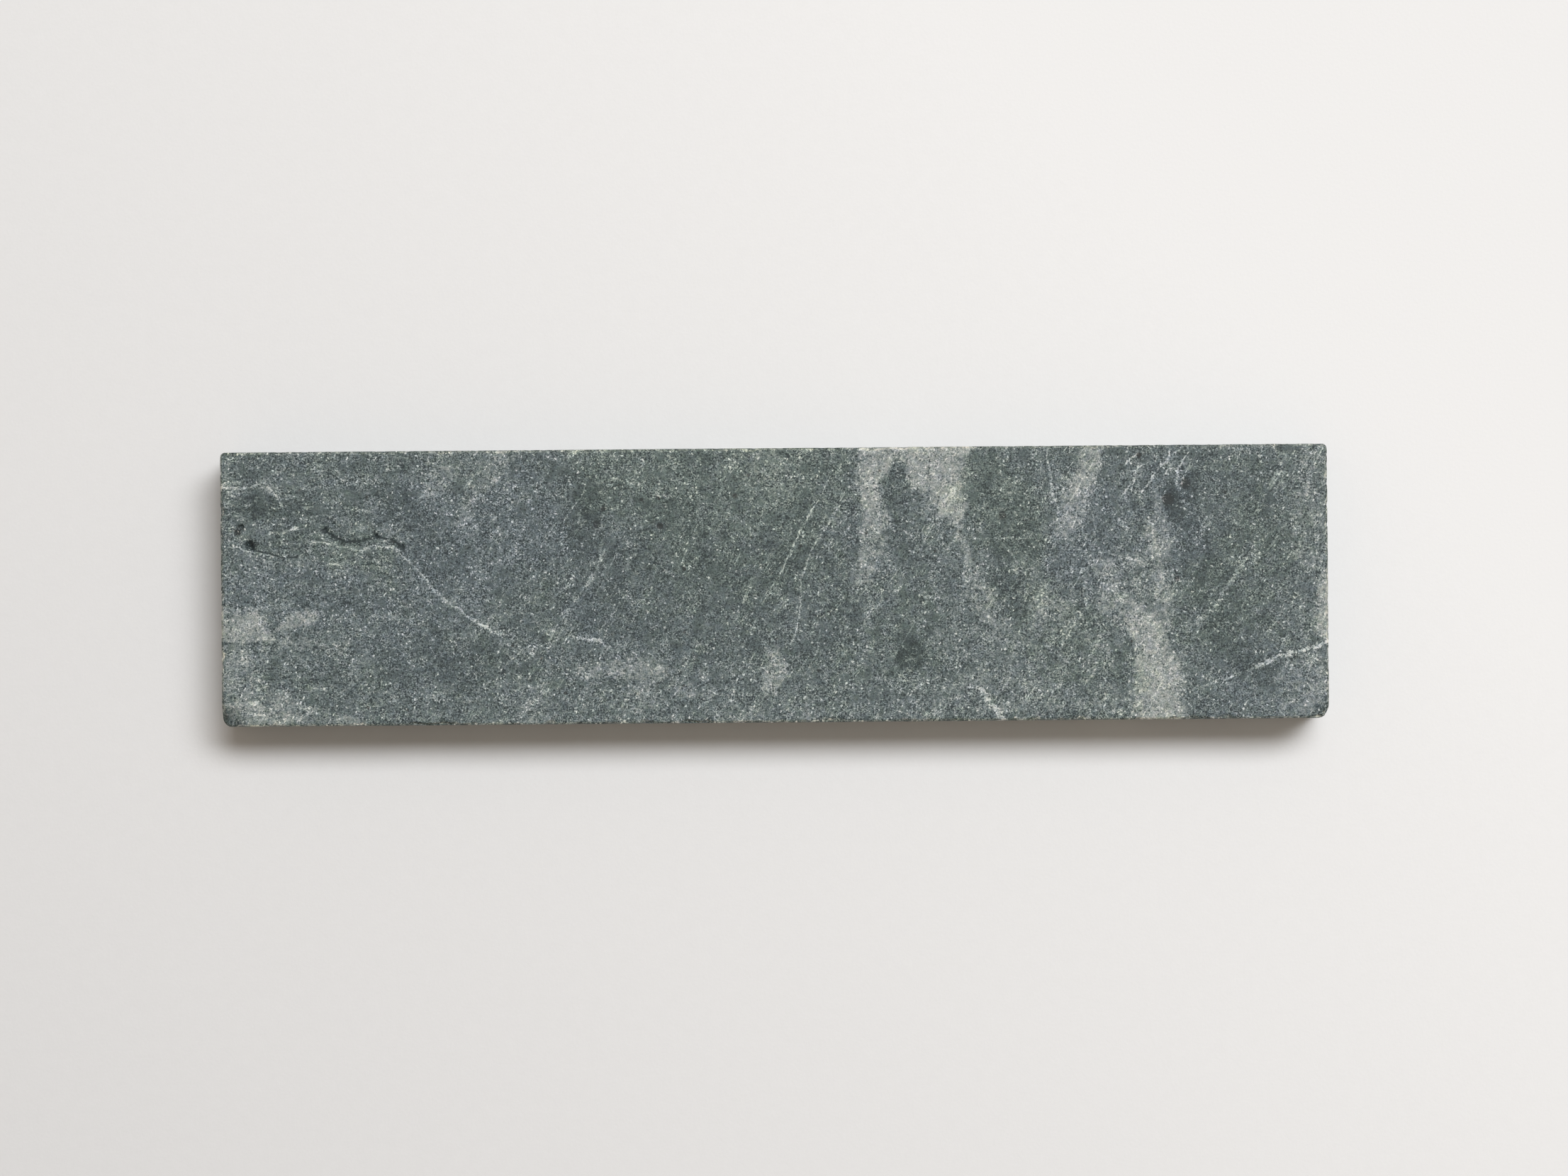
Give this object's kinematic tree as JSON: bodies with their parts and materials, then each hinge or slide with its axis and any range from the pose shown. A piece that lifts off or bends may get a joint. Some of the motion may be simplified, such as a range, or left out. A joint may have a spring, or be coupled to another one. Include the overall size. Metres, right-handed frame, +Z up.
{
  "type": "sharpening whetstone",
  "caption": "Bare bench whetstone: a long flat slab of speckled green-grey natural stone with eased edges, used to sharpen and hone blades.",
  "frame": {"origin": "middle of the resting face", "axes": "+X along the length, +Y across the width, +Z up through the sharpening face"},
  "size_m": [0.2, 0.0496, 0.012],
  "materials": {
    "stone": "honed matt natural stone, green-grey with pale cloudy zones, fine white speckle, hairline veins and one short dark fissure"
  },
  "bodies": {
    "root": {"whetstone": "stone"}
  },
  "joints": []
}
